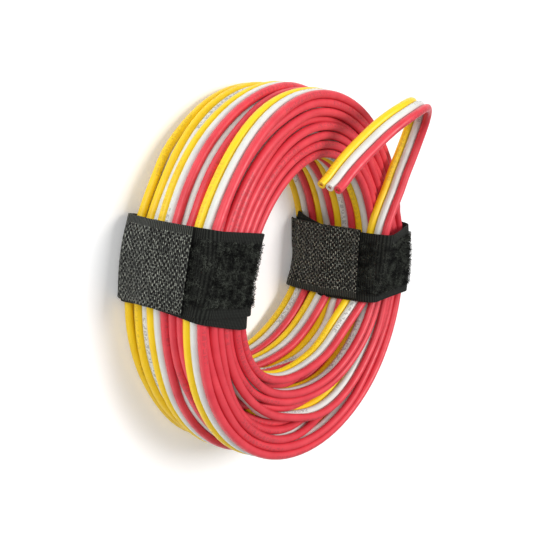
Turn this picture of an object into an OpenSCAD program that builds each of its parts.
// Coiled three-core flexible cable: one flat ribbon of three bonded round
// cores, wound into a ring and held by two hook-and-loop straps. The ring lies
// flat, its axis along +Z, on the undersides of the two straps.

/* [Cable] */
// Outer diameter of one core, which is also the pitch of the three cores
core_d = 1.5; // [1.3:0.1:1.8]
// Diameter of the stranded copper conductor in each core
conductor_d = 0.6; // [0.45:0.05:0.7]

/* [Coil] */
// Outside diameter of the wound ring
coil_outer_d = 69; // [62:1:84]
// Diameter of the hole through the ring
coil_inner_d = 38; // [31:1:44]
// Width of the ring along its axis
coil_w = 17; // [14:0.5:21]
// Rounding of the ring's section at its four corners
coil_edge_r = 3; // [2:0.5:4]

/* [Straps] */
// Width of the hook-and-loop tape
strap_w = 13.5; // [11:0.5:16.5]
// Thickness of the loop tape with its pile
loop_t = 1.2; // [0.8:0.1:1.8]
// Thickness of the hook tape
hook_t = 1.0; // [0.8:0.1:1.6]
// Gap between the two ends of a loop tape, under its hook tape
end_gap = 1; // [0.5:0.1:2]
// Distance that the near hook tape stops short of the ring's upper face
near_lap_short = 2.2; // [1:0.1:4]
// Distance that both hook tapes stop short of the ring's lower face
hook_start = 2; // [1:0.1:4]
// Turn of the far strap about the ring's axis, from straight opposite the near one
far_strap_turn = 7; // [0:1:12]

/* [Hidden] */

$fn = 96;

// Clearance between surfaces that lie on each other
fit_gap = 0.1;
// Clearance between neighbouring cores, and between a conductor and its core
core_gap = 0.04;
// Sides of a swept core and of a swept conductor
core_sides = 8;
// Length that the end faces of the conductors stand back from the cut cores
conductor_back = 0.2;

outer_r = coil_outer_d / 2;
inner_r = coil_inner_d / 2;
// Height of the ribbon, three cores side by side
ribbon_h = 3 * core_d;
// The near hook tape lies on the ring's outside and the far one lies in its
// hole, so the ring's axis stands half that difference off the frame's middle.
axis_x = (hook_t + fit_gap) / 2;
coil_bottom = loop_t + fit_gap;
coil_top = coil_bottom + coil_w;

// The free end comes out from under the far strap near the inner edge of the
// upper face. Its route is given from the corner there: x outwards along the
// strap, y across the strap, z up from the face. The points are those of the
// middle core, a little over two core diameters apart.
tail_route = [
    [-1.9, 1.5, 1.4], [-0.5, 4.9, 1.6], [1.2, 8.2, 1.8], [2.4, 11.5, 2.1],
    [3.5, 14.8, 2.6], [4.3, 18.2, 3.2], [4.1, 21.5, 4.2], [2.2, 23.7, 5.5],
    [-0.8, 24.8, 6.9], [-4.2, 25.0, 8.2], [-7.7, 24.6, 9.1], [-11.1, 23.7, 9.4],
    [-14.2, 22.3, 9.0], [-17.0, 20.4, 8.2], [-19.5, 18.2, 7.3], [-21.9, 15.9, 6.4],
    [-24.2, 13.7, 5.8], [-26.2, 11.8, 5.5], [-28.0, 10.6, 5.4]];
// Height of the middle core over the ribbon's yellow edge, along that route. A
// ribbon of thicker cores is taller, and its route is raised by the difference.
route_over_edge = 2.25;
// Up to this point of the route the ribbon's yellow edge still lies among the
// ring's turns, below the face. The tail's own solids start here, just above it.
clear_from = 4;
// The ribbon stands on its yellow edge, and its red edge leans over. Its lean
// across the strap, from some points of the route to others:
red_edge_lean = [[7, -0.25], [10, -0.4], [15, -0.5], [18, -0.2]];

function unit(v) = v / norm(v);
// Direction of the route at point i, from its neighbours
function route_way(p, i) = unit(p[min(i + 1, len(p) - 1)] - p[max(i - 1, 0)]);
// The way the red edge leans at point i of the stretch that stands clear
function red_edge_way(i) = [0.25, lookup(i + clear_from, red_edge_lean), 0.93];
// Direction across the ribbon at point i, at right angles to the route
function across(p, i) = let (t = route_way(p, i), w = red_edge_way(i))
    unit(w - (w * t) * t);
// The stretch of the route that stands clear of the ring
clear_route = [for (i = [clear_from : len(tail_route) - 1]) tail_route[i]];
// The route moved sideways by whole cores: -1 is yellow, 0 white and 1 red
function core_route(p, place) =
    [for (i = [0 : len(p) - 1]) p[i] + place * core_d * across(p, i)];
// The same route with its last point drawn back along the cable
function drawn_back(p, back) = let (n = len(p) - 1)
    [for (i = [0 : n]) i < n ? p[i] : p[n] - back * route_way(p, n)];

// One ring of a swept tube: a regular polygon whose flats face the neighbours
function tube_ring(centre, side, up, flats, sides) =
    let (corner_r = flats / 2 / cos(180 / sides))
    [for (k = [0 : sides - 1]) let (a = 360 * (k + 0.5) / sides)
        centre + corner_r * (cos(a) * side + sin(a) * up)];

// Points of a solid swept tube along route p, with the ribbon's directions of
// route q, ring after ring
function tube_points(p, q, flats, sides) =
    [for (i = [0 : len(p) - 1])
        let (side = across(q, i), up = cross(route_way(q, i), side))
        each tube_ring(p[i], side, up, flats, sides)];

// Side faces between rings, then the two end faces
function tube_faces(rings, sides) = concat(
    [for (i = [0 : rings - 2], k = [0 : sides - 1])
        let (a = i * sides + k, b = i * sides + (k + 1) % sides)
        [a, a + sides, b + sides, b]],
    [[for (k = [0 : sides - 1]) k]],
    [[for (k = [sides - 1 : -1 : 0]) (rings - 1) * sides + k]]);

// Sides and faces of a pipe: outer rings first, then the inner rings
function pipe_faces(rings, sides) = let (inner = rings * sides) concat(
    [for (i = [0 : rings - 2], k = [0 : sides - 1])
        let (a = i * sides + k, b = i * sides + (k + 1) % sides)
        [a, a + sides, b + sides, b]],
    [for (i = [0 : rings - 2], k = [0 : sides - 1])
        let (a = inner + i * sides + k, b = inner + i * sides + (k + 1) % sides)
        [b, b + sides, a + sides, a]],
    [for (k = [0 : sides - 1]) let (j = (k + 1) % sides) [k, j, inner + j, inner + k]],
    [for (k = [0 : sides - 1]) let (j = (k + 1) % sides, e = (rings - 1) * sides)
        [e + j, e + k, inner + e + k, inner + e + j]]);

// Places what follows at the corner that the free end leaves from
module at_tail_corner() {
    translate([axis_x, 0, 0]) rotate([0, 0, far_strap_turn])
        translate([inner_r, strap_w / 2, coil_top + ribbon_h / 2 - route_over_edge])
            children();
}

// Insulation of one core of the free end, a pipe round its conductor
module tail_core(place) {
    p = core_route(clear_route, place);
    at_tail_corner()
        polyhedron(
            concat(tube_points(p, clear_route, core_d - core_gap, core_sides),
                   tube_points(p, clear_route, conductor_d + 2 * core_gap, core_sides)),
            pipe_faces(len(p), core_sides));
}

// Stranded conductor of one core, as one closed bundle
module tail_conductor(place) {
    p = core_route(clear_route, place);
    at_tail_corner()
        polyhedron(
            tube_points(drawn_back(p, conductor_back), clear_route, conductor_d, core_sides),
            tube_faces(len(p), core_sides));
}

module tail_yellow() { color("gold") tail_core(-1); }
module tail_white() { color("gainsboro") tail_core(0); }
module tail_red() { color("indianred") tail_core(1); }
module conductor_yellow() { color("peru") tail_conductor(-1); }
module conductor_white() { color("peru") tail_conductor(0); }
module conductor_red() { color("peru") tail_conductor(1); }

// Section of the ring grown outwards all round, as radius against height
module ring_section(grow) {
    r = coil_edge_r + grow;
    x0 = inner_r - grow;
    x1 = outer_r + grow;
    z0 = coil_bottom - grow;
    z1 = coil_top + grow;
    translate([x0 + r, z0]) square([x1 - x0 - 2 * r, z1 - z0]);
    translate([x0, z0 + r]) square([x1 - x0, z1 - z0 - 2 * r]);
    for (x = [x0 + r, x1 - r], z = [z0 + r, z1 - r]) translate([x, z]) circle(r);
}

// A band of tape right round the ring's section, between two growths
module tape_section(under, over) {
    difference() {
        ring_section(over);
        ring_section(under);
    }
}

// Cuts a revolved section to the straight width of a strap on the +X side
module strap_cut() {
    intersection() {
        rotate_extrude() children();
        translate([0, -strap_w / 2, -1]) cube([coil_outer_d, strap_w, coil_w * 3]);
    }
}

// Levels of the two layers of tape above the ring's surface
loop_under = fit_gap;
loop_over = fit_gap + loop_t;
hook_under = loop_over + fit_gap;
hook_over = hook_under + hook_t;

// Height at which the ends of a loop tape face each other
tape_end_z = coil_bottom + coil_edge_r + hook_start;

// The wound ring, as one closed solid of its outer shape
module cable_coil() {
    color("tomato") translate([axis_x, 0, 0]) rotate_extrude() ring_section(0);
}

// A strap's loop tape: once round the ring, with its ends facing each other on
// the outside of the ring (out = true) or in its hole (out = false)
module loop_tape(out) {
    strap_cut() difference() {
        tape_section(loop_under, loop_over);
        translate([out ? outer_r - coil_edge_r : inner_r - loop_over - 1, tape_end_z])
            square([coil_edge_r + loop_over + 1, end_gap]);
    }
}

// A strap's hook tape: it bridges the ends of the loop tape, from near the
// ring's lower face up to a cut end at height top. With a top above the ring it
// bends over the ring's edge and ends where the flat face begins.
module hook_tape(out, top) {
    strap_cut() intersection() {
        tape_section(hook_under, hook_over);
        translate([out ? outer_r - coil_edge_r : inner_r - hook_over - 1,
                   coil_bottom + hook_start])
            square([coil_edge_r + hook_over + 1, top - coil_bottom - hook_start]);
    }
}

module near_side() {
    translate([axis_x, 0, 0]) rotate([0, 0, 180]) children();
}

module far_side() {
    translate([axis_x, 0, 0]) rotate([0, 0, far_strap_turn]) children();
}

module near_loop_tape() { color("dimgray") near_side() loop_tape(true); }
module near_hook_tape() {
    color("darkslategray") near_side() hook_tape(true, coil_top - near_lap_short);
}
module far_loop_tape() { color("dimgray") far_side() loop_tape(false); }
module far_hook_tape() {
    color("darkslategray") far_side() hook_tape(false, coil_top + hook_over);
}

cable_coil();
tail_yellow();
tail_white();
tail_red();
conductor_yellow();
conductor_white();
conductor_red();
near_loop_tape();
near_hook_tape();
far_loop_tape();
far_hook_tape();
